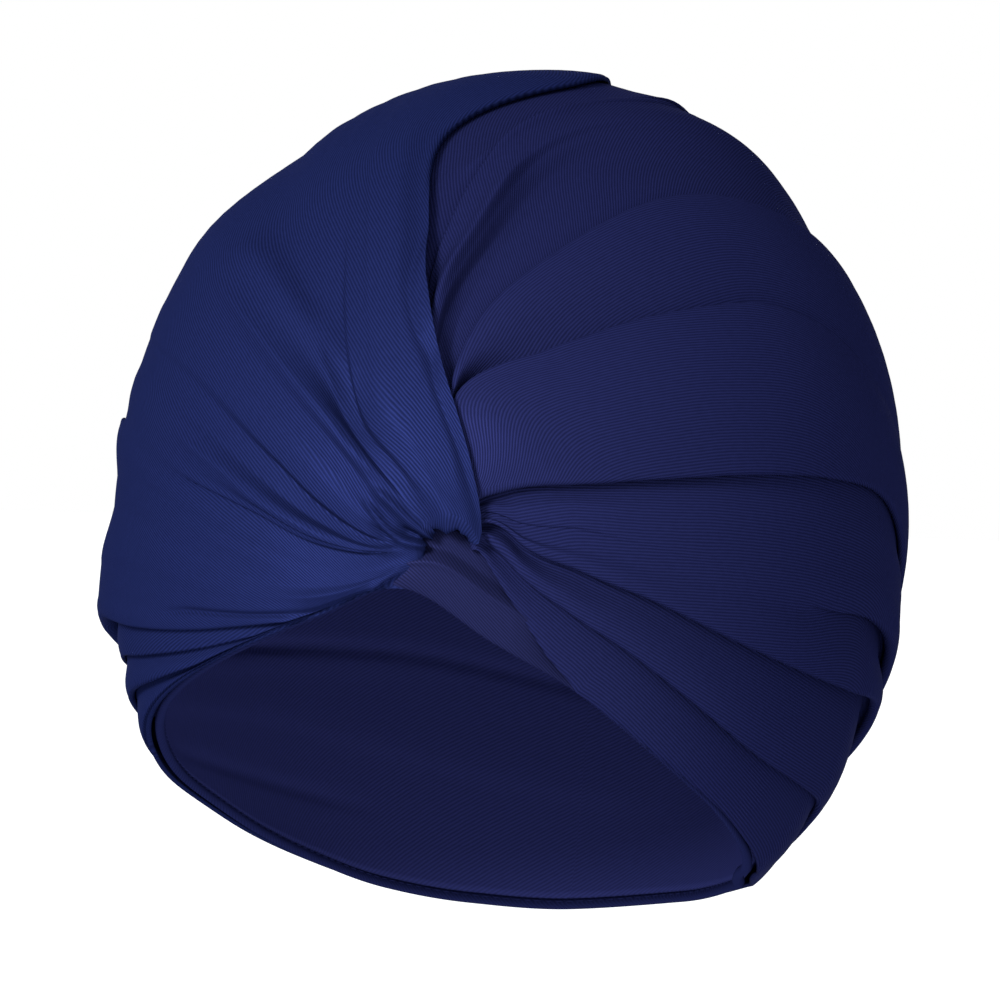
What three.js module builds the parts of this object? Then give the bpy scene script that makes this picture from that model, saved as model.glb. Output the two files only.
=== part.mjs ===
// A pull-on swim cap of stretch cloth in the form of a turban, twisted at the brow.
//
// Millimetres, +Z up. The face looks along -Y and the wearer's left is +X. The origin is the
// middle of the head at the level of the brow, where the cap grips, so the crown is above it
// and the nape edge below it. Everything lies on one smooth form, the head that fills the
// cap. Each layer of cloth is a closed shell between two heights ("lifts") above that form.
import * as THREE from 'three';

// ---- driving sizes ---------------------------------------------------------------------

// The head form: half breadths at the brow, rise of the crown, and how far down it would
// close at the wearer's right and left and at the back. The crown leans backwards. Fullness
// squares the form a little, and less over the wearer's left temple.
const HEAD = {
  halfWidth: 81.5, front: 98.5, back: 105.5, crown: 93.2,
  lowRight: 111.5, lowLeft: 98, lowBack: 140.5, lean: 27, fullness: 2.15, slackTemple: 0.15,
};

// Lifts of the layers above the head form.
const LAYER = {
  liningIn: 0, liningOut: 1.2,      // the inner cap
  bandIn: 1.5, bandOut: 2.5,        // the brow band, sewn on the front of the lining
  panelIn: 2.2,                     // the lowest inside face of an outer panel at the front
  panelInBack: 2.7,                 // and behind the crown, where the head curves most
  wall: 1.5,                        // the least thickness of an outer panel
  overlapGap: 0.85,                 // between the two outer panels where they cross
};

// The rolled hem of the lining: its height, the lifts of its two faces, its gap to the cap.
const HEM = { height: 2, liftIn: -0.2, liftOut: 1.2, gap: 0.35 };

// The mouth of the cap: the height of its edge against the bearing from the front.
const MOUTH = [
  { bearing: -180, height: -105.5 }, { bearing: -161, height: -103.5 },
  { bearing: -142, height: -97 }, { bearing: -123, height: -87.5 },
  { bearing: -104, height: -77 }, { bearing: -88, height: -66 },
  { bearing: -72, height: -55 }, { bearing: -55, height: -40.5 },
  { bearing: -38, height: -27 }, { bearing: -23, height: -15.5 },
  { bearing: -11, height: -6.5 }, { bearing: 0, height: 0.5 },
  { bearing: 10, height: -10 }, { bearing: 20, height: -21 },
  { bearing: 31, height: -35.5 }, { bearing: 41, height: -47 },
  { bearing: 57, height: -62 }, { bearing: 76, height: -73.5 },
  { bearing: 95, height: -79 }, { bearing: 115, height: -85.5 },
  { bearing: 133, height: -91 }, { bearing: 156, height: -100 },
  { bearing: 180, height: -105.5 },
];

// The outer panels spread like a fan from the twist at the brow, over the head, to the nape.
// "sweep" counts degrees along the fan from the twist (0) to the nape (180), and an angle
// says which way round the head a line of the fan goes: 0 over the crown, + to the left ear.
const TWIST = { side: 0.09, height: 0.085 };
const NAPE_HEIGHT = -104.5;
const STATIONS = [3, 8, 14, 22, 34, 50, 68, 95, 135, 178];

// Each fold of a panel: its angle at every station, and the lift of the cloth on its two
// sides ("near" faces the crown, "far" faces the mouth) before and beyond the side of the
// head. A row whose near lift is the lower one is a pleat that opens towards the crown.
const PLEATS = [
  { name: 'under edge', angles: [2, -6, -16, -21, -22, -20, -16, -13, -12, -10],
    nearFront: 3.6, farFront: 3.6, nearSide: 3.6, farSide: 3.6 },
  { name: 'crown tuck', angles: [6, -3, -13, -15, -14, -7.5, 2, 5, 5, 3],
    nearFront: 3.6, farFront: 3.6, nearSide: 5.2, farSide: 7.2 },
  { name: 'crown ridge', angles: [9, 0, -10, -6.5, 1.5, 0.5, 8, 12, 12, 9],
    nearFront: 5.8, farFront: 4.4, nearSide: 6.6, farSide: 4.2 },
  { name: 'first pleat', angles: [12, 3, -6, 4, 14, 22, 30, 38, 36, 27],
    nearFront: 3.6, farFront: 5.6, nearSide: 3.8, farSide: 6.6 },
  { name: 'second pleat', angles: [16, 8, 0, 24, 34.5, 40, 47, 54, 50, 40],
    nearFront: 3.8, farFront: 6.4, nearSide: 7, farSide: 7.6 },
  { name: 'side pleat', angles: [22, 47, 59, 64, 66, 63, 61, 62, 61, 54],
    nearFront: 6.6, farFront: 4.2, nearSide: 7.4, farSide: 6.8 },
  { name: 'ear tuck', angles: [28, 64, 75, 80, 82, 82, 77, 69, 67, 62],
    nearFront: 5.2, farFront: 5, nearSide: 8, farSide: 3.9 },
  { name: 'ear pleat', angles: [36, 82, 90, 92, 93, 91, 86, 77, 74, 70],
    nearFront: 6.6, farFront: 3.8, nearSide: 7.8, farSide: 3.8 },
  { name: 'low pleat', angles: [60, 101, 108, 109, 109, 107.5, 103.5, 97, 91, 83],
    nearFront: 6.2, farFront: 3.8, nearSide: 5.6, farSide: 3.8 },
  { name: 'lower edge', angles: [88, 121, 129, 131, 150, 150, 150, 150, 150, 150],
    nearFront: 4.6, farFront: 3.6, nearSide: 4, farSide: 3.6 },
];
const FOLDS = [
  { name: 'over edge', angles: [76, 15, -1, -7, -9, -7.5, -3, -1, 0, 0],
    nearFront: 6.6, farFront: 6.6, nearSide: 6.4, farSide: 6.4 },
  { name: 'crown crease', angles: [-20, -25, -26, -24, -22, -19, -15, -12, -10, -8],
    nearFront: 5.6, farFront: 5.4, nearSide: 5.6, farSide: 4.4 },
  { name: 'temple groove', angles: [-44, -39, -34, -30, -33, -37, -36, -30, -23, -18],
    nearFront: 4.6, farFront: 5.8, nearSide: 4.6, farSide: 5.6 },
  { name: 'temple ridge', angles: [-68, -62, -53, -47, -43, -42, -44, -40, -33, -27],
    nearFront: 4.2, farFront: 7.2, nearSide: 4.4, farSide: 4.4 },
  { name: 'cheek ridge', angles: [-92, -88, -80, -69, -62, -57, -54, -50, -44, -37],
    nearFront: 4.4, farFront: 6.4, nearSide: 3.8, farSide: 5.6 },
  { name: 'cheek tuck', angles: [-106, -103, -93, -80, -72, -65, -59, -55, -51, -46],
    nearFront: 6.2, farFront: 4.4, nearSide: 5.8, farSide: 4.8 },
  { name: 'soft groove', angles: [-110, -108, -102, -95, -82, -73, -68, -65, -61, -58],
    nearFront: 5.2, farFront: 4.8, nearSide: 5.4, farSide: 5.2 },
  { name: 'ear roll top', angles: [-119, -116, -109, -102, -92, -83, -75, -71, -68, -65],
    nearFront: 5, farFront: 5.2, nearSide: 5.2, farSide: 9 },
  { name: 'ear roll', angles: [-121, -119, -112, -106, -99, -90, -81, -77, -74, -71],
    nearFront: 5.4, farFront: 3.8, nearSide: 11, farSide: 4.6 },
  { name: 'lower tuck', angles: [-123, -121, -114, -109, -103, -97, -92, -88, -84, -80],
    nearFront: 5, farFront: 3.8, nearSide: 5.8, farSide: 3.8 },
  { name: 'edge tuck', angles: [-125, -123, -116, -111, -106, -101, -97, -93, -90, -86],
    nearFront: 4.6, farFront: 3.8, nearSide: 4.6, farSide: 3.8 },
  { name: 'lower edge', angles: [-127, -127, -150, -150, -150, -150, -150, -150, -150, -150],
    nearFront: 3.8, farFront: 3.8, nearSide: 3.8, farSide: 3.8 },
];
const FRONT_SWEEP = 30;      // the front lifts hold up to here ...
const SIDE_SWEEP = 75;       // ... and the side lifts from here
const REST_LIFT = 3.7;       // the lift that all folds fade to at the nape
const FADE_SWEEP = 105;      // where they begin to fade
const EDGE_STEP = 0.7;       // degrees kept between neighbouring folds where they crowd
const PUFF = 0.9;            // rise of the cloth between two folds

// ---- the head form ---------------------------------------------------------------------

// Below 1 inside the form, 1 on it.
function headValue(x, y, z) {
  const rise = Math.max(z, 0) / HEAD.crown;
  const depth = y - HEAD.lean * rise * rise;
  const backness = Math.max(depth, 0) ** 2 / Math.max(x * x + depth * depth, 1e-9);
  const leftness = THREE.MathUtils.clamp(0.5 + x / 40, 0, 1);
  const beside = HEAD.lowRight + (HEAD.lowLeft - HEAD.lowRight) * leftness;
  const low = beside + (HEAD.lowBack - beside) * backness;
  const around = Math.hypot(x / HEAD.halfWidth, depth / (depth < 0 ? HEAD.front : HEAD.back));
  const along = Math.abs(z) / (z > 0 ? HEAD.crown : low);
  const temple = z > 0 ? THREE.MathUtils.clamp(x / 60, 0, 1) : 0;
  const fullness = HEAD.fullness - HEAD.slackTemple * temple;
  return around ** fullness + along ** fullness;
}

// The outward unit normal of the form through a point.
function headNormal(point) {
  const step = 0.05;
  const { x, y, z } = point;
  return new THREE.Vector3(
    headValue(x + step, y, z) - headValue(x - step, y, z),
    headValue(x, y + step, z) - headValue(x, y - step, z),
    headValue(x, y, z + step) - headValue(x, y, z - step),
  ).normalize();
}

// The point where a ray from inside meets the form, raised by the lift.
function onHead(origin, direction, lift) {
  let inside = 0;
  let outside = 260;
  const point = new THREE.Vector3();
  for (let pass = 0; pass < 36; pass += 1) {
    const middle = (inside + outside) / 2;
    point.copy(direction).multiplyScalar(middle).add(origin);
    if (headValue(point.x, point.y, point.z) < 1) inside = middle;
    else outside = middle;
  }
  return point.addScaledVector(headNormal(point), lift);
}

// ---- tables ----------------------------------------------------------------------------

// A smooth curve through the values at the knots, with the slopes of its neighbours.
function smooth(knots, values, at) {
  const last = knots.length - 1;
  if (at <= knots[0]) return values[0];
  if (at >= knots[last]) return values[last];
  let k = 0;
  while (at > knots[k + 1]) k += 1;
  const slope = (i) => {
    const a = Math.max(i - 1, 0);
    const b = Math.min(i + 1, last);
    return (values[b] - values[a]) / (knots[b] - knots[a]);
  };
  const width = knots[k + 1] - knots[k];
  const t = (at - knots[k]) / width;
  return values[k] * (1 + 2 * t) * (1 - t) ** 2 + values[k + 1] * t * t * (3 - 2 * t)
    + width * (slope(k) * t * (1 - t) ** 2 - slope(k + 1) * t * t * (1 - t));
}

const ease = (from, to, at) => THREE.MathUtils.smoothstep(at, from, to);

const degrees = THREE.MathUtils.degToRad;
const bearingOf = (point) => THREE.MathUtils.radToDeg(Math.atan2(point.x, -point.y));

// The height of the mouth's edge at a bearing.
function mouthHeight(bearing) {
  return smooth(MOUTH.map((row) => row.bearing), MOUTH.map((row) => row.height), bearing);
}

// ---- the fan ---------------------------------------------------------------------------

const ORIGIN = new THREE.Vector3();
const twistPoint = onHead(ORIGIN, new THREE.Vector3(TWIST.side, -1, TWIST.height).normalize(), 0);
const napePoint = (() => {
  let near = 0;
  let far = 200;
  for (let pass = 0; pass < 40; pass += 1) {
    const middle = (near + far) / 2;
    if (headValue(0, middle, NAPE_HEIGHT) < 1) near = middle;
    else far = middle;
  }
  return new THREE.Vector3(0, near, NAPE_HEIGHT);
})();
const fanCentre = twistPoint.clone().add(napePoint).multiplyScalar(0.5);
const fanAxis = napePoint.clone().sub(twistPoint).normalize();
const fanUp = new THREE.Vector3(0, 0, 1).addScaledVector(fanAxis, -fanAxis.z).normalize();
const fanSide = new THREE.Vector3().crossVectors(fanAxis, fanUp);

// The point of the fan at an angle and a sweep, at a lift above the head.
function fanPoint(angle, sweep, lift) {
  const across = fanUp.clone().multiplyScalar(Math.cos(degrees(angle)))
    .addScaledVector(fanSide, Math.sin(degrees(angle)));
  const direction = fanAxis.clone().multiplyScalar(-Math.cos(degrees(sweep)))
    .addScaledVector(across, Math.sin(degrees(sweep)));
  return onHead(fanCentre, direction, lift);
}

// The angle at which the fan's line of this sweep runs down into the mouth's edge.
const mouthAngles = new Map();
function mouthAngle(sweep, side) {
  const key = `${sweep} ${side}`;
  if (!mouthAngles.has(key)) {
    let above = 45;
    let below = 150;
    for (let pass = 0; pass < 20; pass += 1) {
      const middle = (above + below) / 2;
      const point = fanPoint(side * middle, sweep, LAYER.panelIn);
      if (point.z > mouthHeight(bearingOf(point)) + HEM.gap) above = middle;
      else below = middle;
    }
    mouthAngles.set(key, side * above);
  }
  return mouthAngles.get(key);
}

// The folds of a panel at one sweep: angles kept in order and inside the mouth, and lifts.
function foldsAt(table, sweep) {
  const side = Math.sign(table[table.length - 1].angles[1]);
  const limit = Math.abs(mouthAngle(sweep, side));
  const toSide = ease(FRONT_SWEEP, SIDE_SWEEP, sweep);
  const fade = ease(FADE_SWEEP, 178, sweep);
  return table.map((row, index) => {
    const crowd = EDGE_STEP * (table.length - 1 - index);
    const angle = side * Math.min(side * smooth(STATIONS, row.angles, sweep), limit - crowd);
    const mix = (front, beside) => {
      const lift = front + (beside - front) * toSide;
      return lift + (REST_LIFT - lift) * fade;
    };
    return { angle, near: mix(row.nearFront, row.nearSide), far: mix(row.farFront, row.farSide) };
  });
}

// The lift of a panel's outside at an angle, between the folds that lie at that sweep.
function liftBetween(folds, angle) {
  const side = Math.sign(folds[folds.length - 1].angle - folds[0].angle);
  let k = 0;
  while (k < folds.length - 2 && side * angle > side * folds[k + 1].angle) k += 1;
  const width = Math.max(side * (folds[k + 1].angle - folds[k].angle), 1e-6);
  const t = THREE.MathUtils.clamp(side * (angle - folds[k].angle) / width, 0, 1);
  const puff = PUFF * Math.min(width / 12, 1) * 4 * t * (1 - t);
  return folds[k].far + (folds[k + 1].near - folds[k].far) * t + puff;
}

// ---- closed shells ---------------------------------------------------------------------

// A closed body between an outer and an inner grid of points, with rows of equal length:
//   'sheet'  rims on all four sides,
//   'ring'   each row closes on itself, with rims on the first and the last row,
//   'dome'   as a ring, but the first rows are closed by a fan to their middle.
function shell(outer, inner, form) {
  const rows = outer.length;
  const columns = outer[0].length;
  const spans = form === 'sheet' ? columns - 1 : columns;
  const corners = [];
  const faces = [];
  const put = (point) => corners.push(point.x, point.y, point.z) / 3 - 1;
  const quad = (a, b, c, d) => faces.push(a, b, c, a, c, d);
  const outside = outer.map((row) => row.map(put));
  const inside = inner.map((row) => row.map(put));

  // A strip from one row of corners to another, wound as the outside is.
  const strip = (upper, lower) => {
    for (let i = 0; i < spans; i += 1) {
      const next = (i + 1) % columns;
      quad(upper[i], upper[next], lower[next], lower[i]);
    }
  };
  for (let j = 0; j < rows - 1; j += 1) {
    strip(outside[j], outside[j + 1]);
    strip(inside[j + 1], inside[j]);
  }
  strip(outside[rows - 1], inside[rows - 1]);
  if (form !== 'dome') strip(inside[0], outside[0]);

  if (form === 'dome') {
    const middle = (row) => put(
      row.reduce((sum, point) => sum.add(point), new THREE.Vector3()).divideScalar(columns));
    const outsideTop = middle(outer[0]);
    const insideTop = middle(inner[0]);
    for (let i = 0; i < spans; i += 1) {
      const next = (i + 1) % columns;
      faces.push(outsideTop, outside[0][next], outside[0][i]);
      faces.push(insideTop, inside[0][i], inside[0][next]);
    }
  }
  if (form === 'sheet') {
    const end = columns - 1;
    for (let j = 0; j < rows - 1; j += 1) {
      quad(outside[j][0], outside[j + 1][0], inside[j + 1][0], inside[j][0]);
      quad(outside[j][end], inside[j][end], inside[j + 1][end], outside[j + 1][end]);
    }
  }

  const geometry = new THREE.BufferGeometry();
  geometry.setAttribute('position', new THREE.Float32BufferAttribute(corners, 3));
  geometry.setIndex(faces);
  if (signedVolume(geometry) < 0) geometry.setIndex(faces.reverse());
  geometry.computeVertexNormals();
  return geometry;
}

// The volume inside a closed mesh, positive where its faces point out.
function signedVolume(geometry) {
  const { array } = geometry.getAttribute('position');
  const index = geometry.getIndex().array;
  const corner = (k) => new THREE.Vector3().fromArray(array, 3 * index[k]);
  let total = 0;
  for (let k = 0; k < index.length; k += 3) {
    total += corner(k).dot(corner(k + 1).cross(corner(k + 2))) / 6;
  }
  return total;
}

// ---- the lining, its hem and the brow band -----------------------------------------------

const HOLLOW = new THREE.Vector3(0, 8, -10);      // a point in the middle of the head
const ROUND = 52;                                 // columns round the cap

// The point of the head in a direction from its middle: bearing round, tilt from upright.
function ringPoint(bearing, tilt, lift) {
  const flat = Math.sin(degrees(tilt));
  const direction = new THREE.Vector3(
    flat * Math.sin(degrees(bearing)), -flat * Math.cos(degrees(bearing)), Math.cos(degrees(tilt)),
  );
  return onHead(HOLLOW, direction, lift);
}

// The tilt at which the head is this far above the mouth's edge.
function tiltAbove(bearing, clearance) {
  let above = 20;
  let below = 170;
  for (let pass = 0; pass < 24; pass += 1) {
    const middle = (above + below) / 2;
    const point = ringPoint(bearing, middle, 0);
    if (point.z > mouthHeight(bearingOf(point)) + clearance) above = middle;
    else below = middle;
  }
  return above;
}

const bearings = Array.from({ length: ROUND }, (_, i) => -180 + (360 * i) / ROUND);

function liningGeometry() {
  const rings = 15;
  const crownTilt = 2;      // degrees of the first ring, which a fan of faces closes
  const edges = bearings.map((bearing) => tiltAbove(bearing, HEM.height + HEM.gap));
  const wallAt = (lift) => Array.from({ length: rings + 1 }, (_, j) => bearings.map((bearing, i) => (
    ringPoint(bearing, crownTilt + ((edges[i] - crownTilt) * j) / rings, lift)
  )));
  return shell(wallAt(LAYER.liningOut), wallAt(LAYER.liningIn), 'dome');
}

// The hem is a flat rolled cord all round the mouth, just under the edge of the lining.
function hemGeometry() {
  const levels = [
    { clearance: HEM.height, inset: 0.2 }, { clearance: HEM.height * 0.5, inset: 0 },
    { clearance: 0, inset: 0.4 },
  ];
  const tilts = levels.map((level) => bearings.map((bearing) => tiltAbove(bearing, level.clearance)));
  const wallAt = (lift, inward) => levels.map((level, j) => bearings.map((bearing, i) => (
    ringPoint(bearing, tilts[j][i], lift + inward * level.inset)
  )));
  return shell(wallAt(HEM.liftOut, -1), wallAt(HEM.liftIn, 1), 'ring');
}

// The brow band lies on the lining below the twist. It narrows to the wearer's left, where
// the pleated panel begins to cover it.
const BAND = [
  { bearing: -4, height: 6 }, { bearing: 0, height: 7 }, { bearing: 5, height: 9.5 },
  { bearing: 10, height: 9.5 }, { bearing: 15, height: 7.5 }, { bearing: 20, height: 4.5 },
];

function browBandGeometry() {
  const columns = 14;
  const rows = 3;
  const seam = 0.4;      // the band stops this far above the mouth's edge
  const from = BAND[0].bearing;
  const to = BAND[BAND.length - 1].bearing;
  const across = Array.from({ length: columns + 1 }, (_, i) => from + ((to - from) * i) / columns);
  const heights = across.map((bearing) => (
    smooth(BAND.map((row) => row.bearing), BAND.map((row) => row.height), bearing)));
  const wallAt = (lift) => Array.from({ length: rows + 1 }, (_, j) => across.map((bearing, i) => (
    ringPoint(bearing, tiltAbove(bearing, heights[i] + ((seam - heights[i]) * j) / rows), lift)
  )));
  return shell(wallAt(LAYER.bandOut), wallAt(LAYER.bandIn), 'sheet');
}

// ---- the outer panels --------------------------------------------------------------------

const LAST_SWEEP = 178;
const ROWS = 28;
const COLUMN_WIDTH = 5.5;      // degrees, at the side of the head, that one column may span
const STEP_WIDTH = 1.1;      // half the width of a fold's step, in mm on the head

// The sweeps of the rows: closer together near the twist, where the cloth is gathered.
function sweepsFrom(first) {
  return Array.from({ length: ROWS + 1 }, (_, j) => (
    first + (LAST_SWEEP - first) * (j / ROWS) ** 1.12));
}

// How many columns each lobe of a panel takes between the sides of its two folds.
function lobeColumns(table) {
  const wide = foldsAt(table, SIDE_SWEEP);
  return wide.slice(1).map((fold, k) => (
    Math.max(Math.round(Math.abs(fold.angle - wide[k].angle) / COLUMN_WIDTH), 1)));
}

// The angles of a panel's columns at one sweep: both sides of each fold and the lobe between.
function columnAngles(folds, columns, sweep) {
  const side = Math.sign(folds[folds.length - 1].angle - folds[0].angle);
  const radius = fanCentre.distanceTo(twistPoint) * Math.sin(degrees(sweep));
  const step = THREE.MathUtils.radToDeg(STEP_WIDTH / radius);
  const angles = [];
  for (let k = 0; k < folds.length - 1; k += 1) {
    const width = Math.abs(folds[k + 1].angle - folds[k].angle);
    const inset = Math.min(step, width * 0.2);
    const from = folds[k].angle + side * (k === 0 ? 0 : inset);
    const to = folds[k + 1].angle - side * (k === folds.length - 2 ? 0 : inset);
    for (let i = 0; i <= columns[k]; i += 1) {
      angles.push(from + ((to - from) * i) / columns[k]);
    }
  }
  return angles;
}

// A panel as a shell. floorAt gives the lift that the inside must keep clear of.
function panelGeometry(table, firstSweep, floorAt) {
  const outer = [];
  const inner = [];
  const columns = lobeColumns(table);
  sweepsFrom(firstSweep).forEach((sweep) => {
    const folds = foldsAt(table, sweep);
    const angles = columnAngles(folds, columns, sweep);
    const floors = angles.map((angle) => floorAt(angle, sweep));
    const lifts = angles.map((angle, i) => (
      Math.max(liftBetween(folds, angle), floors[i] + LAYER.wall)));
    const hollows = lifts.map((lift, i) => Math.max(
      floors[i],
      Math.min(lift, lifts[Math.max(i - 1, 0)], lifts[Math.min(i + 1, lifts.length - 1)])
        - LAYER.wall,
    ));
    outer.push(angles.map((angle, i) => fanPoint(angle, sweep, lifts[i])));
    inner.push(angles.map((angle, i) => fanPoint(angle, sweep, hollows[i])));
  });
  return shell(outer, inner, 'sheet');
}

// The pleated panel lies straight on the lining.
const PLEATED_START = 3;
function onLining(angle, sweep) {
  return LAYER.panelIn + (LAYER.panelInBack - LAYER.panelIn) * ease(70, 95, sweep);
}

// The over panel clears the lining, the brow band and, where they cross, the pleated panel.
const OVER_START = 2;
const BAND_SWEEP = 12;      // the brow band reaches this far from the twist
function onPleats(angle, sweep) {
  let floor = sweep < BAND_SWEEP ? LAYER.bandOut + LAYER.overlapGap : onLining(angle, sweep);
  const reach = 2.5;        // degrees looked either way for a higher pleat
  for (const along of [sweep - 2 * reach, sweep, sweep + 2 * reach]) {
    const folds = foldsAt(PLEATS, Math.max(along, PLEATED_START));
    for (const beside of [angle - reach, angle, angle + reach]) {
      if (beside > folds[0].angle - reach) {
        floor = Math.max(floor, liftBetween(folds, beside) + LAYER.overlapGap);
      }
    }
  }
  return floor;
}

// ---- the cap -----------------------------------------------------------------------------

function knit(color, roughness) {
  return new THREE.MeshStandardMaterial({ color, roughness, metalness: 0 });
}

const cap = new THREE.Group();
cap.name = 'swim_cap';

function addPiece(name, geometry, material) {
  const piece = new THREE.Mesh(geometry, material);
  piece.name = name;
  cap.add(piece);
}

addPiece('lining', liningGeometry(), knit(0x1a1e42, 0.7));
addPiece('hem', hemGeometry(), knit(0x1c2246, 0.65));
addPiece('brow_band', browBandGeometry(), knit(0x232a5c, 0.65));
addPiece('pleated_panel', panelGeometry(PLEATS, PLEATED_START, onLining), knit(0x20255a, 0.55));
addPiece('over_panel', panelGeometry(FOLDS, OVER_START, onPleats), knit(0x242c62, 0.5));

export default cap;
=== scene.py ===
# A pull-on swim cap of stretch cloth in the form of a turban, twisted at the brow.
import math

import bmesh
import bpy
import numpy as np
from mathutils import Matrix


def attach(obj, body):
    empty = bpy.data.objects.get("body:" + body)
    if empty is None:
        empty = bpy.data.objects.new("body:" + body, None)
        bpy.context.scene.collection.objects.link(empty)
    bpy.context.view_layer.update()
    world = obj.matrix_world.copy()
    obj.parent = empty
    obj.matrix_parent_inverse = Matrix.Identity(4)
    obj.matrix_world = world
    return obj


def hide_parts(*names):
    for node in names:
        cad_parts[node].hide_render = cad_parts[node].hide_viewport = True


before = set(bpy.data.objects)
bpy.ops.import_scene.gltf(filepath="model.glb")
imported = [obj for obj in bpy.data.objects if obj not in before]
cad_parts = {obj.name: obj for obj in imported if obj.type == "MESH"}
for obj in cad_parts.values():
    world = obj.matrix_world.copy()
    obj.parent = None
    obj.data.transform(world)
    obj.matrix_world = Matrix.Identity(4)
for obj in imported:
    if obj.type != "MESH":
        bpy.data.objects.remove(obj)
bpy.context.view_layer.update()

MM = 0.001

# ---- camera, floor and light ---------------------------------------------------------------
# The cap is held up as a head would hold it and seen from a little above, in a white room
# with a pale floor. A soft light stands in front at the wearer's right, high up, and a
# weaker one lower at the left.
scene = bpy.context.scene
scene.view_settings.view_transform = "Standard"

TURN, RISE = math.radians(12), math.radians(8)
back = np.array([math.sin(TURN) * math.cos(RISE), -math.cos(TURN) * math.cos(RISE), math.sin(RISE)])
right = np.array([math.cos(TURN), math.sin(TURN), 0.0])
up = np.cross(back, right)
EYE_DISTANCE = 1.0
SENSOR, LENS = 36, 160.2                    # mm
EYE_ASIDE, EYE_ABOVE = -0.0016, 0.0049      # the cap's origin is a little off the middle

camera = bpy.data.objects.new("camera", bpy.data.cameras.new("camera"))
scene.collection.objects.link(camera)
scene.camera = camera
camera.data.sensor_width = SENSOR
camera.data.lens = LENS
camera.data.clip_start = 0.05
camera.rotation_euler = (math.pi / 2 - RISE, 0, TURN)
camera.location = back * EYE_DISTANCE + right * EYE_ASIDE + up * EYE_ABOVE

world = bpy.data.worlds.new("studio")
world.use_nodes = True
room_light = world.node_tree.nodes["Background"].inputs
room_light["Color"].default_value = (1, 1, 1, 1)
room_light["Strength"].default_value = 1.0
scene.world = world

floor_mesh = bpy.data.meshes.new("floor")
FLOOR_HALF, FLOOR_DROP = 6.0, -0.9
floor_mesh.from_pydata(
    [(-FLOOR_HALF, -FLOOR_HALF, FLOOR_DROP), (FLOOR_HALF, -FLOOR_HALF, FLOOR_DROP),
     (FLOOR_HALF, FLOOR_HALF, FLOOR_DROP), (-FLOOR_HALF, FLOOR_HALF, FLOOR_DROP)],
    [], [(0, 1, 2, 3)])
floor = bpy.data.objects.new("floor", floor_mesh)
scene.collection.objects.link(floor)
paper = bpy.data.materials.new("white paper")
paper.use_nodes = True
paper_shade = paper.node_tree.nodes["Principled BSDF"].inputs
paper_shade["Base Color"].default_value = (0.9, 0.9, 0.9, 1)
paper_shade["Roughness"].default_value = 0.8
paper_shade["Emission Color"].default_value = (1, 1, 1, 1)
paper_shade["Emission Strength"].default_value = 0.3
floor_mesh.materials.append(paper)


# A round soft light at a place in metres, turned to the cap.
def soft_light(name, place, size, watts):
    data = bpy.data.lights.new(name, "AREA")
    data.shape = "DISK"
    data.size = size
    data.energy = watts
    lamp = bpy.data.objects.new(name, data)
    scene.collection.objects.link(lamp)
    away = np.array(place, float)
    lamp.location = away
    lamp.rotation_euler = (
        math.atan2(math.hypot(away[0], away[1]), away[2]), 0, math.atan2(away[0], -away[1]))


soft_light("key light", (-0.54, -1.22, 0.71), 0.5, 43)
soft_light("fill light", (0.8, -1.4, 0.3), 1.2, 7)

# ---- the lining ------------------------------------------------------------------------------
# The inner cap, one layer of smooth stretch knit over the whole head, with soft folds at
# the back. The head stretches it, and all other layers are sewn on it. A lift is a height
# in mm above the form of the head that fills the cap.
HEAD = dict(half_width=81.5, front=98.5, back=105.5, crown=93.2, low_right=111.5, low_left=98,
            low_back=140.5, lean=27, fullness=2.15, slack_temple=0.15)
SIDE_BLEND, TEMPLE_BLEND = 40, 60           # mm across the head over which its sides differ


# Below 1 inside the head that fills the cap, 1 on it.
def head_value(p):
    x, y, z = p[..., 0], p[..., 1], p[..., 2]
    rise = np.maximum(z, 0) / HEAD["crown"]
    depth = y - HEAD["lean"] * rise**2
    backness = np.maximum(depth, 0)**2 / np.maximum(x * x + depth * depth, 1e-9)
    leftness = np.clip(0.5 + x / SIDE_BLEND, 0, 1)
    beside = HEAD["low_right"] + (HEAD["low_left"] - HEAD["low_right"]) * leftness
    low = beside + (HEAD["low_back"] - beside) * backness
    around = np.hypot(x / HEAD["half_width"], depth / np.where(depth < 0, HEAD["front"], HEAD["back"]))
    along = np.abs(z) / np.where(z > 0, HEAD["crown"], low)
    temple = np.where(z > 0, np.clip(x / TEMPLE_BLEND, 0, 1), 0)
    fullness = HEAD["fullness"] - HEAD["slack_temple"] * temple
    return around**fullness + along**fullness


# The points where rays from inside meet the head, raised by the lifts.
FAR_OUT = 260.0                             # mm from inside the head, well outside it


def on_head(origin, direction, lift):
    direction = np.asarray(direction, float)
    inside = np.zeros(direction.shape[:-1])
    outside = np.full(direction.shape[:-1], FAR_OUT)
    for halving in range(34):
        middle = (inside + outside) / 2
        within = head_value(origin + direction * middle[..., None]) < 1
        inside = np.where(within, middle, inside)
        outside = np.where(within, outside, middle)
    point = origin + direction * middle[..., None]
    step = 0.05
    normal = np.stack([head_value(point + step * axis) - head_value(point - step * axis)
                       for axis in np.eye(3)], -1)
    normal /= np.linalg.norm(normal, axis=-1, keepdims=True)
    return point + normal * np.asarray(lift)[..., None]


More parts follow.
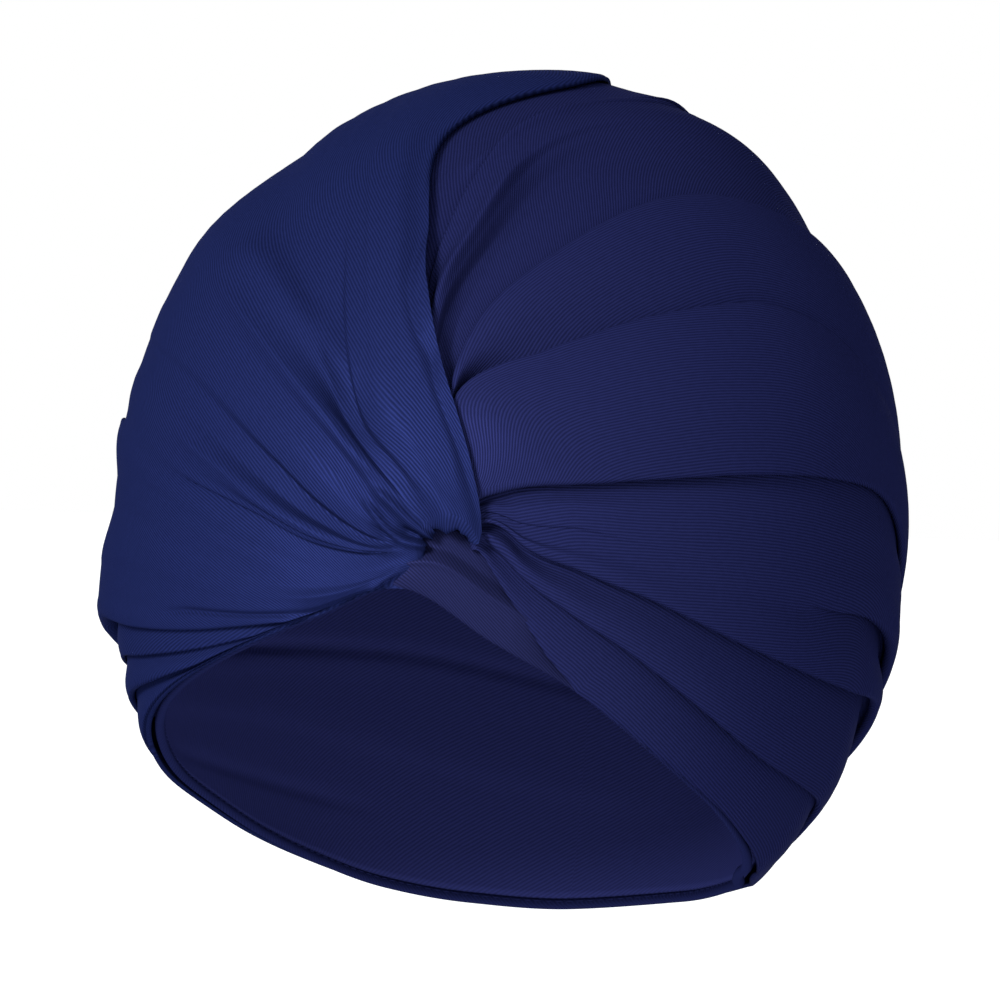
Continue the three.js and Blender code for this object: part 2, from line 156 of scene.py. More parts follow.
# A smooth curve through values at knots, with the slopes of its neighbours.
def smooth(knots, values, at):
    knots = np.asarray(knots, float)
    values = np.asarray(values, float)
    at = np.clip(at, knots[0], knots[-1])
    k = np.clip(np.searchsorted(knots, at, side="right") - 1, 0, len(knots) - 2)
    before = np.maximum(np.arange(len(knots)) - 1, 0)
    after = np.minimum(np.arange(len(knots)) + 1, len(knots) - 1)
    slope = (values[after] - values[before]) / (knots[after] - knots[before])
    width = knots[k + 1] - knots[k]
    t = (at - knots[k]) / width
    return (values[k] * (1 + 2 * t) * (1 - t)**2 + values[k + 1] * t * t * (3 - 2 * t)
            + width * (slope[k] * t * (1 - t)**2 - slope[k + 1] * t * t * (1 - t)))


# From 0 at start to 1 at end, level at both.
def ease(start, end, at):
    t = np.clip((np.asarray(at, float) - start) / (end - start), 0, 1)
    return t * t * (3 - 2 * t)


# The mouth of the cap: bearing from the front in degrees, height of its edge in mm.
MOUTH = [
    (-204, -100), (-180, -105.5), (-161, -103.5), (-142, -97), (-123, -87.5), (-104, -77), (-88, -66),
    (-72, -55), (-55, -40.5), (-38, -27), (-23, -15.5), (-11, -6.5), (0, 0.5), (10, -10),
    (20, -21), (31, -35.5), (41, -47), (57, -62), (76, -73.5), (95, -79), (115, -85.5),
    (133, -91), (156, -100), (180, -105.5), (199, -103.5),
]


def mouth_height(bearing):
    return smooth([b for b, h in MOUTH], [h for b, h in MOUTH], bearing)


def bearing_of(p):
    return np.degrees(np.arctan2(p[..., 0], -p[..., 1]))


# The place on the head at a bearing from the front and a tilt from upright, in degrees.
HOLLOW = np.array([0.0, 8.0, -10.0])        # a point in the middle of the head


def ring_point(bearing, tilt, lift):
    bearing, tilt = np.broadcast_arrays(np.radians(bearing), np.radians(tilt))
    flat = np.sin(tilt)
    direction = np.stack([flat * np.sin(bearing), -flat * np.cos(bearing), np.cos(tilt)], -1)
    return on_head(HOLLOW, direction, lift)


# The tilt from upright at which the head is this far above the mouth's edge.
def tilt_above(bearing, clearance):
    above = np.full(np.shape(bearing), 20.0)
    below = np.full(np.shape(bearing), 170.0)
    for halving in range(22):
        middle = (above + below) / 2
        p = ring_point(bearing, middle, np.zeros(np.shape(bearing)))
        higher = p[..., 2] > mouth_height(bearing_of(p)) + clearance
        above = np.where(higher, middle, above)
        below = np.where(higher, below, middle)
    return above


# Puts the corners of each face on the same side of the line where the cloth closes round.
def unwrap(corners, girth):
    faces = corners.reshape(-1, 4)
    return (faces + girth * (faces < faces.max(1, keepdims=True) - girth / 2)).ravel()


CLOTH_UNIT = 100                  # mm of flat cloth in one unit of its places


# A closed piece from points in mm and faces, its faces turned outwards. flat_places gives
# the flat place of the cloth at every corner, from the point that the corner is at.
def closed_piece(name, points, faces, flat_places):
    mesh = bpy.data.meshes.new(name)
    mesh.from_pydata((points * MM).tolist(), [], faces)
    corners = np.empty(len(mesh.loops), int)
    mesh.loops.foreach_get("vertex_index", corners)
    layer = mesh.uv_layers.new(name="cloth")
    layer.data.foreach_set("uv", (flat_places(corners) / CLOTH_UNIT).ravel())
    body = bmesh.new()
    body.from_mesh(mesh)
    if body.calc_volume(signed=True) < 0:
        bmesh.ops.reverse_faces(body, faces=body.faces)
    body.to_mesh(mesh)
    body.free()
    mesh.polygons.foreach_set("use_smooth", [True] * len(mesh.polygons))
    piece = bpy.data.objects.new(name, mesh)
    scene.collection.objects.link(piece)
    return piece


# A closed body between an outer and an inner grid of points in mm. A sheet has rims on all
# four sides, a ring closes each row on itself, and a dome's first row closes to a point.
# cloth holds the flat place of each outer corner in mm, for the ribs of the knit, and
# cloth_faces the same for each corner of the outer faces, where the cloth is folded over.
def shell(name, outer, inner, form, cloth, cloth_faces=None, girth=0):
    rows, columns = outer.shape[:2]
    spans = columns - 1 if form == "sheet" else columns
    count = rows * columns
    at = np.arange(count).reshape(rows, columns)
    j, i = np.meshgrid(np.arange(rows - 1), np.arange(spans), indexing="ij")
    n = (i + 1) % columns
    front = np.stack([at[j, i], at[j, n], at[j + 1, n], at[j + 1, i]], -1).reshape(-1, 4)
    reverse = front[:, ::-1] + count
    faces = [front, reverse]
    i = np.arange(spans)
    n = (i + 1) % columns
    faces.append(np.stack([at[-1, i], at[-1, n], at[-1, n] + count, at[-1, i] + count], -1))
    if form != "dome":
        faces.append(np.stack([at[0, n], at[0, i], at[0, i] + count, at[0, n] + count], -1))
    if form == "sheet":
        j = np.arange(rows - 1)
        faces.append(np.stack([at[j, 0], at[j + 1, 0], at[j + 1, 0] + count, at[j, 0] + count], -1))
        faces.append(np.stack([at[j + 1, -1], at[j, -1], at[j, -1] + count, at[j + 1, -1] + count], -1))
    quads = np.concatenate(faces)
    points = np.concatenate([outer.reshape(-1, 3), inner.reshape(-1, 3)])
    flat = np.concatenate([cloth.reshape(-1, 2)] * 2)
    extra = []
    if form == "dome":
        for offset, turn in ((0, 1), (count, -1)):
            centre = len(points)
            points = np.concatenate([points, points[offset:offset + columns].mean(0)[None]])
            flat = np.concatenate([flat, flat[offset:offset + columns].mean(0)[None]])
            ring = [(centre, offset + n, offset + m) for m, n in
                    zip(range(columns), list(range(1, columns)) + [0])]
            extra += [face[::turn] for face in ring]

    def flat_places(corners):
        places = flat[corners]
        if girth:
            places[:quads.size, 0] = unwrap(places[:quads.size, 0], girth)
        if cloth_faces is not None:
            places[:cloth_faces.size // 2] = cloth_faces.reshape(-1, 2)
        return places

    return closed_piece(name, points, quads.tolist() + extra, flat_places)


SATIN = 0.3                       # share of the light that the smooth yarn throws back like satin


# A knit of fine diagonal ribs. The colour is linear, of the cloth as a whole, spacing is in
# mm, slant in degrees from the cloth's length and depth the height of a rib in mm. Contrast
# is how much the ribs and the grooves differ from the colour.
WAVES_PER_UNIT = 20 / (2 * math.pi)          # a wave texture's bands at scale 1


def knit(name, colour, spacing, slant, depth, contrast=0.3, satin=SATIN):
    material = bpy.data.materials.new(name)
    material.use_nodes = True
    nodes = material.node_tree.nodes
    links = material.node_tree.links
    shader = nodes["Principled BSDF"]
    shader.inputs["Roughness"].default_value = 0.5
    shader.inputs["Metallic"].default_value = satin
    shader.inputs["Specular IOR Level"].default_value = 0.0
    shader.inputs["Specular Tint"].default_value = (0.02, 0.03, 0.12, 1)

    place = nodes.new("ShaderNodeUVMap")
    place.uv_map = "cloth"
    turn = nodes.new("ShaderNodeMapping")
    turn.inputs["Rotation"].default_value = (0, 0, math.radians(slant))
    links.new(place.outputs["UV"], turn.inputs["Vector"])
    ribs = nodes.new("ShaderNodeTexWave")
    ribs.wave_type = "BANDS"
    ribs.bands_direction = "X"
    ribs.inputs["Scale"].default_value = CLOTH_UNIT / spacing / WAVES_PER_UNIT
    ribs.inputs["Distortion"].default_value = 1.0
    ribs.inputs["Detail"].default_value = 2
    ribs.inputs["Detail Scale"].default_value = 0.5
    links.new(turn.outputs["Vector"], ribs.inputs["Vector"])

    # the yarns cross the ribs as short flecks, and the dye is a little uneven
    stretch = nodes.new("ShaderNodeMapping")
    stretch.inputs["Scale"].default_value = (1, 0.3, 1)
    links.new(turn.outputs["Vector"], stretch.inputs["Vector"])
    fleck = nodes.new("ShaderNodeTexNoise")
    fleck.inputs["Scale"].default_value = 150
    fleck.inputs["Detail"].default_value = 1
    links.new(stretch.outputs["Vector"], fleck.inputs["Vector"])
    height = nodes.new("ShaderNodeMix")
    height.data_type = "FLOAT"
    height.inputs[0].default_value = 0.3
    links.new(ribs.outputs["Fac"], height.inputs[2])
    links.new(fleck.outputs["Fac"], height.inputs[3])
    ramp = nodes.new("ShaderNodeValToRGB")
    ramp.color_ramp.elements[0].position = 0.15
    ramp.color_ramp.elements[1].position = 0.85
    ramp.color_ramp.elements[0].color = (*[c * (1 - contrast) for c in colour], 1)
    ramp.color_ramp.elements[1].color = (*[c * (1 + contrast) for c in colour], 1)
    links.new(height.outputs[0], ramp.inputs["Fac"])
    links.new(ramp.outputs["Color"], shader.inputs["Base Color"])

    bump = nodes.new("ShaderNodeBump")
    bump.inputs["Strength"].default_value = 1
    bump.inputs["Distance"].default_value = depth * MM
    links.new(height.outputs[0], bump.inputs["Height"])
    links.new(bump.outputs["Normal"], shader.inputs["Normal"])
    return material


LINING_IN, LINING_OUT = 0.0, 1.2
ROUND, RINGS = 300, 150           # columns round the cap, and rows from the crown down
CAP_RADIUS, CROWN_RADIUS = 85, 100          # how the cap curves round and down, for flat places
HEM_HEIGHT, HEM_GAP, LINING_GAP = 2.0, 0.35, 0.03

# Creases and soft folds inside the back wall: bearings, heights, how far each stands in
# (a crease runs outwards), and over how many mm it fades above and below.
LINING_FOLDS = [
    dict(bearings=(-150, -119, -100), heights=(-45, -38, -36), rise=-0.5, above=1.2, below=0.8),
    dict(bearings=(-215, -182, -152, -119, -95), heights=(-62, -57, -46, -38, -34), rise=-0.9,
         above=1.8, below=1.0),
    dict(bearings=(-170, -151, -139, -93, -75), heights=(-54, -50, -47, -37, -33), rise=0.2,
         above=7, below=1.5),
    dict(bearings=(-200, -176, -150, -125, -79, -65), heights=(-82, -79, -68, -55, -41, -37), rise=0.3,
         above=8, below=2.5),
    dict(bearings=(-150, -105, -62, -50), heights=(-84, -64, -47, -42), rise=-0.5, above=2.0, below=1.2),
]


FOLDS_TURN = 100                  # the bearing at the left ear where the folds' bearings start over
RUN_IN, RUN_OUT = 22, 18          # degrees over which a fold starts and ends


def lining_folds(p):
    around = bearing_of(p)
    around = np.where(around > FOLDS_TURN, around - 360, around)
    rise = np.zeros(around.shape)
    for fold in LINING_FOLDS:
        first, last = fold["bearings"][0], fold["bearings"][-1]
        over = p[..., 2] - smooth(fold["bearings"], fold["heights"], around)
        shape = np.exp(-(over / np.where(over > 0, fold["above"], fold["below"]))**2)
        ends = ease(first, first + RUN_IN, around) * ease(last, last - RUN_OUT, around)
        rise += fold["rise"] * shape * ends
    return rise


bearings = -180 + 360 * np.arange(ROUND) / ROUND
edge = tilt_above(bearings, HEM_HEIGHT + LINING_GAP)
CROWN_TILT, CROWDING = 2, 0.9     # where the first ring lies, and how the rest close up downwards
FOLDS_END = 0.93                  # the share of the way down where the folds end, above the hem
share = np.linspace(0, 1, RINGS)[:, None]**CROWDING
tilts = CROWN_TILT + (edge - CROWN_TILT) * share
lining_inside = ring_point(bearings[None, :], tilts, np.full(tilts.shape, LINING_IN))
folds_in = lining_folds(lining_inside) * ease(1, FOLDS_END, share)
lining_inside = ring_point(bearings[None, :], tilts, LINING_IN - folds_in)
lining_outside = ring_point(bearings[None, :], tilts, np.full(tilts.shape, LINING_OUT))
lining_cloth = np.stack(
    [np.broadcast_to(np.radians(bearings) * CAP_RADIUS, tilts.shape), np.radians(tilts) * CROWN_RADIUS], -1)
lining = shell("lining_cloth", lining_outside, lining_inside, "dome", lining_cloth,
               girth=2 * math.pi * CAP_RADIUS)
# The lining's colour is more than twice as light as the outer cloth's, though it is the same dye: painted
# light that brightens the shaded inside of the cap.
lining.data.materials.append(
    knit("lining knit with painted light", (0.0190, 0.0230, 0.100), spacing=0.8, slant=64, depth=0.05, contrast=0.2, satin=0.0))
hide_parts("lining")
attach(lining, "root")

# ---- the hem ---------------------------------------------------------------------------------
# The lower edge of the lining, turned up and rolled into a flat cord all round the mouth,
# and held by a row of stitches along its inner face.
HEM_IN, HEM_OUT = -0.2, 2.0
SIDES, HEM_STEP = 10, 0.6         # faces round the cord, and how wide each is, mm
HEM_SQUARENESS = 0.7              # below 1, which flattens the cord's upper and lower side
turn = np.linspace(0, 2 * math.pi, SIDES, endpoint=False)
levels = HEM_HEIGHT / 2 + (HEM_HEIGHT / 2) * np.sign(np.cos(turn)) * np.abs(np.cos(turn))**HEM_SQUARENESS
lifts = (HEM_IN + HEM_OUT) / 2 + (HEM_OUT - HEM_IN) / 2 * np.sin(turn)
hem_tilts = np.stack([tilt_above(bearings, level) for level in levels])
hem_grid = ring_point(bearings[None, :], hem_tilts, np.broadcast_to(lifts[:, None], hem_tilts.shape))


# A closed tube from a grid that is a ring both ways.
def torus(name, grid, cloth):
    rows, columns = grid.shape[:2]
    at = np.arange(rows * columns).reshape(rows, columns)
    down, over = np.roll(at, -1, 0), np.roll(at, -1, 1)
    both = np.roll(down, -1, 1)
    faces = np.stack([at, over, both, down], -1).reshape(-1, 4).tolist()

    def flat_places(corners):
        places = cloth.reshape(-1, 2)[corners]
        places[:, 0] = unwrap(places[:, 0], rows * HEM_STEP)
        places[:, 1] = unwrap(places[:, 1], 2 * math.pi * CAP_RADIUS)
        return places

    return closed_piece(name, grid.reshape(-1, 3), faces, flat_places)


hem_cloth = np.stack(
    np.meshgrid(np.arange(SIDES) * HEM_STEP, np.radians(bearings) * CAP_RADIUS, indexing="ij"), -1)
hem = torus("rolled_hem", hem_grid, hem_cloth)
hem.data.materials.append(
    knit("hem knit", (0.0060, 0.0078, 0.036), spacing=0.7, slant=30, depth=0.06, contrast=0.2, satin=0.0))
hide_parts("hem")
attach(hem, "root")

# The stitches that hold the hem are laid along its inner face, one on each point of a path.
STITCH_SPACING, STITCH_LENGTH, THREAD = 2.6, 1.9, 0.38      # the last is the thread's breadth
STITCH_HEIGHT, STITCH_OUT = 1.2, 0.05       # above the mouth's edge, and proud of the hem


def stitch_tree(material):
    tree = bpy.data.node_groups.new("hem stitches", "GeometryNodeTree")
    tree.interface.new_socket("Geometry", in_out="INPUT", socket_type="NodeSocketGeometry")
    for name in ("Spacing", "Stitch length", "Thread"):
        tree.interface.new_socket(name, in_out="INPUT", socket_type="NodeSocketFloat")
    tree.interface.new_socket("Geometry", in_out="OUTPUT", socket_type="NodeSocketGeometry")
    nodes, links = tree.nodes, tree.links
    given = nodes.new("NodeGroupInput")
    made = nodes.new("NodeGroupOutput")
    spaced = nodes.new("GeometryNodeResampleCurve")
    spaced.mode = "LENGTH"
    links.new(given.outputs["Geometry"], spaced.inputs["Curve"])
    links.new(given.outputs["Spacing"], spaced.inputs["Length"])
    bead = nodes.new("GeometryNodeMeshUVSphere")
    bead.inputs["Segments"].default_value = 8
    bead.inputs["Rings"].default_value = 6
    bead.inputs["Radius"].default_value = 0.5
    size = nodes.new("ShaderNodeCombineXYZ")
    links.new(given.outputs["Stitch length"], size.inputs["X"])
    links.new(given.outputs["Thread"], size.inputs["Y"])
    links.new(given.outputs["Thread"], size.inputs["Z"])
    stitch = nodes.new("GeometryNodeTransform")
    links.new(bead.outputs["Mesh"], stitch.inputs["Geometry"])
    links.new(size.outputs["Vector"], stitch.inputs["Scale"])
    tangent = nodes.new("GeometryNodeInputTangent")
    along = nodes.new("FunctionNodeAlignRotationToVector")
    along.axis = "X"
    links.new(tangent.outputs["Tangent"], along.inputs["Vector"])
    laid = nodes.new("GeometryNodeInstanceOnPoints")
    links.new(spaced.outputs["Curve"], laid.inputs["Points"])
    links.new(stitch.outputs["Geometry"], laid.inputs["Instance"])
    links.new(along.outputs["Rotation"], laid.inputs["Rotation"])
    real = nodes.new("GeometryNodeRealizeInstances")
    links.new(laid.outputs["Instances"], real.inputs["Geometry"])
    dyed = nodes.new("GeometryNodeSetMaterial")
    dyed.inputs["Material"].default_value = material
    links.new(real.outputs["Geometry"], dyed.inputs["Geometry"])
    links.new(dyed.outputs["Geometry"], made.inputs["Geometry"])
    return tree


# Sewing thread in two shades of the hem's blue, which change along it with the yarns' twist.
def sewing_thread(dark, light):
    material = bpy.data.materials.new("thread")
    material.use_nodes = True
    nodes, links = material.node_tree.nodes, material.node_tree.links
    shader = nodes["Principled BSDF"]
    shader.inputs["Roughness"].default_value = 0.55
    shader.inputs["Specular IOR Level"].default_value = 0.0
    place = nodes.new("ShaderNodeTexCoord")
    twist = nodes.new("ShaderNodeTexNoise")
    twist.inputs["Scale"].default_value = 900
    shades = nodes.new("ShaderNodeValToRGB")
    shades.color_ramp.elements[0].color = (*dark, 1)
    shades.color_ramp.elements[1].color = (*light, 1)
    links.new(place.outputs["Object"], twist.inputs["Vector"])
    links.new(twist.outputs["Fac"], shades.inputs["Fac"])
    links.new(shades.outputs["Color"], shader.inputs["Base Color"])
    return material


stitch_line = ring_point(bearings, tilt_above(bearings, np.full(ROUND, STITCH_HEIGHT)),
                         np.full(ROUND, HEM_IN - STITCH_OUT)) * MM
path = bpy.data.curves.new("stitch path", "CURVE")
path.dimensions = "3D"
spline = path.splines.new("POLY")
spline.points.add(ROUND - 1)
spline.points.foreach_set("co", np.concatenate([stitch_line, np.ones((ROUND, 1))], 1).ravel())
spline.use_cyclic_u = True
row = bpy.data.objects.new("stitch row", path)
scene.collection.objects.link(row)
tree = stitch_tree(sewing_thread((0.0050, 0.0065, 0.030), (0.0080, 0.0100, 0.046)))
sewing = row.modifiers.new("sewing", "NODES")
sewing.node_group = tree
SEWN = {"Spacing": STITCH_SPACING * MM, "Stitch length": STITCH_LENGTH * MM, "Thread": THREAD * MM}
for item in tree.interface.items_tree:
    if item.in_out == "INPUT" and item.name in SEWN:
        sewing[item.identifier] = SEWN[item.name]
stitch_mesh = bpy.data.meshes.new_from_object(row.evaluated_get(bpy.context.evaluated_depsgraph_get()))
row.modifiers.clear()
bpy.data.objects.remove(row)
stitches = bpy.data.objects.new("hem_stitches", stitch_mesh)
scene.collection.objects.link(stitches)
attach(stitches, "root")

# ---- the brow band ----------------------------------------------------------------------------
# A short band of the outer cloth, sewn on the lining under the twist. It covers the seam
# there, and its upper edge is folded down along a crease.
BAND_IN, BAND_OUT = 1.5, 2.5
BAND_CLOTH, BAND_SEAM = 0.9, 0.3            # its thickness, and its lower edge above the hem's
BAND = [      # bearing, and the heights above the mouth of the crease and of the upper edge
    (-7, 1.5, 3), (-3, 2.8, 7), (1, 5.8, 13), (5, 9.0, 17), (10, 9.3, 18), (16, 8.5, 16), (22, 6, 12),
    (28, 3, 6)]
BAND_COLUMNS, BAND_ROWS = 110, 44
BROW_RADIUS = 95                            # how the brow curves, for the flat places
BAND_SWELL, CREASE_RIDGE = 2.6, 0.35        # how far the band stands out, and the ridge on it
across = np.linspace(BAND[0][0], BAND[-1][0], BAND_COLUMNS)
creases = smooth([row[0] for row in BAND], [row[1] for row in BAND], across)
tops = smooth([row[0] for row in BAND], [row[2] for row in BAND], across)
FOLD_AT = 0.5                                 # the crease's place on the way down the band
fall = np.linspace(0, 1, BAND_ROWS)[:, None]
band_heights = np.where(fall < FOLD_AT, tops + (creases - tops) * fall / FOLD_AT,
                        creases + (BAND_SEAM - creases) * (fall - FOLD_AT) / (1 - FOLD_AT))
band_tilts = np.stack([tilt_above(across, row) for row in band_heights])
swell = (ease(-6, 2, across) * ease(18, 11, across))[None, :]
rise = BAND_SWELL * swell * ease(0.28, FOLD_AT, fall) * ease(1.6, 0.7, fall)
rise += CREASE_RIDGE * swell * np.exp(-((fall - FOLD_AT) / 0.035)**2)
rounding = 0.3 * (np.exp(-fall / 0.04) + np.exp(-(1 - fall) / 0.03))        # of its two edges
band_out = ring_point(across[None, :], band_tilts, BAND_OUT + rise - rounding)
band_in = ring_point(across[None, :], band_tilts, np.maximum(BAND_OUT + rise - BAND_CLOTH - 0.1, BAND_IN))
band_cloth = np.stack([np.broadcast_to(np.radians(across) * BROW_RADIUS, band_tilts.shape),
                       np.broadcast_to(tops.max() - band_heights, band_tilts.shape)], -1)
brow_band = shell("brow_band_cloth", band_out, band_in, "sheet", band_cloth)
brow_band.data.materials.append(
    knit("band knit", (0.0078, 0.0092, 0.036), spacing=0.65, slant=60, depth=0.07))
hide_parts("brow_band")
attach(brow_band, "root")

# ---- the pleated panel -------------------------------------------------------------------------
# One panel of four-way stretch knit over the crown and the wearer's left side. It is
# gathered into the twist and laid in pleats from there, and gathered again at the nape.
ORIGIN = np.zeros(3)
TWIST_ASIDE, TWIST_ABOVE = 0.09, 0.085      # for each mm that the twist lies in front
aim = np.array([TWIST_ASIDE, -1, TWIST_ABOVE])
twist_point = on_head(ORIGIN, aim / np.linalg.norm(aim), 0)
NAPE_HEIGHT = -104.5
inside, outside = 0.0, FAR_OUT
for halving in range(40):
    middle = (inside + outside) / 2
    if head_value(np.array([0, middle, NAPE_HEIGHT])) < 1:
        inside = middle
    else:
        outside = middle
nape_point = np.array([0, inside, NAPE_HEIGHT])
fan_centre = (twist_point + nape_point) / 2
fan_axis = (nape_point - twist_point) / np.linalg.norm(nape_point - twist_point)
fan_up = np.array([0, 0, 1.0]) - fan_axis * fan_axis[2]
fan_up /= np.linalg.norm(fan_up)
fan_side = np.cross(fan_axis, fan_up)
FAN_RADIUS = np.linalg.norm(fan_centre - twist_point)
MM_PER_DEGREE = FAN_RADIUS * math.pi / 180


# The mm that one degree of angle is wide at each sweep.
def degree_width(sweeps):
    return np.sin(np.radians(sweeps)) * MM_PER_DEGREE


# The outer panels spread like a fan from the twist (sweep 0) to the nape (180). An angle
# says which way round the head a line of the fan goes: 0 over the crown, + to the left ear.
# Both are in degrees.
def fan_point(angle, sweep, lift):
    angle, sweep, lift = np.broadcast_arrays(np.radians(angle), np.radians(sweep), lift)
    way = np.cos(angle)[..., None] * fan_up + np.sin(angle)[..., None] * fan_side
    direction = -np.cos(sweep)[..., None] * fan_axis + np.sin(sweep)[..., None] * way
    return on_head(fan_centre, direction, lift)


PANEL_IN, PANEL_IN_BACK = 2.2, 2.7          # the lowest inside faces of the panels, in front and behind


# How far round from the crown the edge of the mouth is at each sweep.
def mouth_angle(sweep, side):
    above = np.full(np.shape(sweep), 45.0)
    below = np.full(np.shape(sweep), 150.0)
    for halving in range(18):
        middle = (above + below) / 2
        p = fan_point(side * middle, sweep, np.full(np.shape(sweep), PANEL_IN))
        higher = p[..., 2] > mouth_height(bearing_of(p)) + HEM_GAP
        above = np.where(higher, middle, above)
        below = np.where(higher, below, middle)
    return above


NAPE_SWEEP = 178
STATIONS = [3, 5, 8, 14, 22, 34, 50, 68, 95, 135, NAPE_SWEEP]     # where the angles of a fold are given
LIFT_STATIONS = [5, 18, 45, 80]          # and where the lifts of its two sides are
REST_LIFT, FADE_SWEEP = 3.7, 105         # all folds fade to this lift at the nape, from here on
EDGE_STEP = 0.4                          # degrees kept between folds where they crowd
LOBE_COLUMNS, FOLD_COLUMNS, CREASE, EDGE_COLUMNS = 8, 14, 4, 5
PUFF, PUFF_WIDTH = 0.9, 20               # how much the cloth between two folds this far apart swells
STEEPEST = 0.8                           # of the cloth's slope across a fold that is level
SOFT_HALF, NOSE, TUCK = 1.6, 1.1, 2.4    # a fold's half breadth, nose radius and depth, if not given
NOSE_TURNS = (-62, -25, 10, 40, 65, 90)  # degrees round the nose of a fold
CALM_SPREAD = 1.5                        # mm over which the heights are evened at the twist


# The columns of a panel for every row: angles and lifts, with each fold laid as a Z where
# its two sides differ in height, so that the upper layer overhangs the lower one. Between
# the two sweeps of calm the folds grow out of the even, flat gathers of the twist.
def lay_folds(table, sweeps, side, calm):
    limit = mouth_angle(sweeps, side)
    fade = ease(FADE_SWEEP, NAPE_SWEEP, sweeps)
    scale = degree_width(sweeps)
    places, nears, fars = [], [], []
    for index, row in enumerate(table):
        crowd = EDGE_STEP * (len(table) - 1 - index)
        raw = side * smooth(STATIONS, row["angles"], sweeps)
        angle = np.minimum(raw, limit - crowd)
        alive = ease(-6, 1, limit - crowd - raw) if 0 < index < len(table) - 1 else 1
        for side_lifts, target in ((row["near"], nears), (row["far"], fars)):
            lift = smooth(LIFT_STATIONS, side_lifts, sweeps)
            lift = lift + (REST_LIFT - lift) * np.maximum(fade, 1 - alive)
            target.append(lift)
        places.append(angle * scale)
    count = len(table)
    slopes = [0 * sweeps] * count
    for k in range(1, count - 1):
        before = np.maximum(places[k] - places[k - 1], 0.3)
        after = np.maximum(places[k + 1] - places[k], 0.3)
        climb = (nears[k] - fars[k - 1]) / before * after + (nears[k + 1] - fars[k]) / after * before
        level = ease(0.8, 0.2, np.abs(fars[k] - nears[k]))
        slopes[k] = np.clip(climb / (before + after), -STEEPEST, STEEPEST) * level
    ends = []
    for k in range(count):
        low = np.minimum(nears[k], fars[k])
        high = np.maximum(nears[k], fars[k])
        drop = high - low
        room_before = places[k] - places[k - 1] if k > 0 else np.full(sweeps.shape, 1e3)
        room_after = places[k + 1] - places[k] if k < count - 1 else np.full(sweeps.shape, 1e3)
        room = 0.42 * np.minimum(room_before, room_after)
        half = np.minimum(table[k].get("soft", SOFT_HALF), room)
        x = np.linspace(-1, 1, FOLD_COLUMNS)[:, None]
        soft_t = places[k] + half * x
        soft_h = nears[k] + (fars[k] - nears[k]) * ease(-1, 1, x) + slopes[k] * half * x
        crisp = ease(0.5, 1.3, drop) * table[k].get("crisp", 1) * ease(calm[0], calm[1], sweeps)
        radius = np.minimum(np.minimum(drop * 0.46, table[k].get("roll", NOSE)), room * 0.7)
        under = np.minimum(np.clip((drop - 0.5) * 1.3, 0, table[k].get("under", TUCK)), room)
        slit = np.minimum(0.25, drop * 0.1)
        # from the low side, under the upper layer, back out and round its nose to its top
        path = [(-0.45 * half, low), (0.25 * under, low), (0.6 * under, low), (0.95 * under, low),
                (1.05 * under, low + slit), (0.9 * under, low + 2 * slit),
                (0.5 * under + radius, np.maximum(high - 2 * radius, low + 2 * slit))]
        for nose_turn in np.radians(NOSE_TURNS):
            path.append((radius - radius * math.cos(nose_turn), high - radius + radius * math.sin(nose_turn)))
        path.append((radius + 0.35 * half, high + 0 * drop))
        along = np.stack([np.broadcast_to(t, sweeps.shape) for t, h in path])
        height = np.stack([np.broadcast_to(h, sweeps.shape) for t, h in path])
        rising = fars[k] >= nears[k]
        z_t = np.where(rising, places[k] + along, places[k] - along[::-1])
        z_h = np.where(rising, height, height[::-1])
        ends.append((soft_t + (z_t - soft_t) * crisp, soft_h + (z_h - soft_h) * crisp))

    # the free edge of the first row is folded under in a small round
    edge_roll = table[0].get("roll", 0.3)
    edge_turn = np.radians(np.linspace(0, 90, EDGE_COLUMNS))[:, None]
    columns = [places[0] + edge_roll * (1 - np.cos(edge_turn))]
    heights = [fars[0] + edge_roll * (np.sin(edge_turn) - 1)]
    creases = []
    for k in range(1, count):
        last = k == count - 1
        t0, h0 = (columns[0][-1], heights[0][-1]) if k == 1 else (ends[k - 1][0][-1], ends[k - 1][1][-1])
        t1, h1 = (places[k], nears[k]) if last else (ends[k][0][0], ends[k][1][0])
        x = np.linspace(0, 1, LOBE_COLUMNS + 2)[1:-1, None]
        width = np.maximum(t1 - t0, 0)
        puff = PUFF * table[k].get("puff", 1) * np.minimum(width / PUFF_WIDTH, 1)
        columns.append(t0 + (t1 - t0) * x)
        heights.append(h0 + (h1 - h0) * ease(0, 1, x) + puff * 4 * x * (1 - x)
                       + width * (slopes[k - 1] * x * (1 - x)**2 - slopes[k] * x * x * (1 - x)))
        if last:
            columns.append(places[k][None])
            heights.append(nears[k][None])
        else:
            first = sum(len(c) for c in columns)
            if table[k].get("own_ribs"):
                rising = np.mean(fars[k]) >= np.mean(nears[k])
                creases.append((first + (CREASE if rising else FOLD_COLUMNS - 1 - CREASE),
                                first + FOLD_COLUMNS // 2))
            columns.append(ends[k][0])
            heights.append(ends[k][1])
    t = np.concatenate(columns).T
    h = np.concatenate(heights).T
    spread = CALM_SPREAD * ease(calm[1], calm[0], sweeps)
    for row in np.nonzero(spread > 0.02)[0]:
        share = np.exp(-((t[row][:, None] - t[row][None, :]) / spread[row])**2)
        share *= np.abs(np.gradient(t[row]))[None, :] + 1e-4
        h[row] = share @ h[row] / share.sum(1)
    return side * t / scale[:, None], h, side * t, creases


# One sweep for each row of a panel, closer together near the twist.
ROW_CROWDING = 1.35


def sweeps_from(first, rows):
    return first + (NAPE_SWEEP - first) * np.linspace(0, 1, rows)**ROW_CROWDING


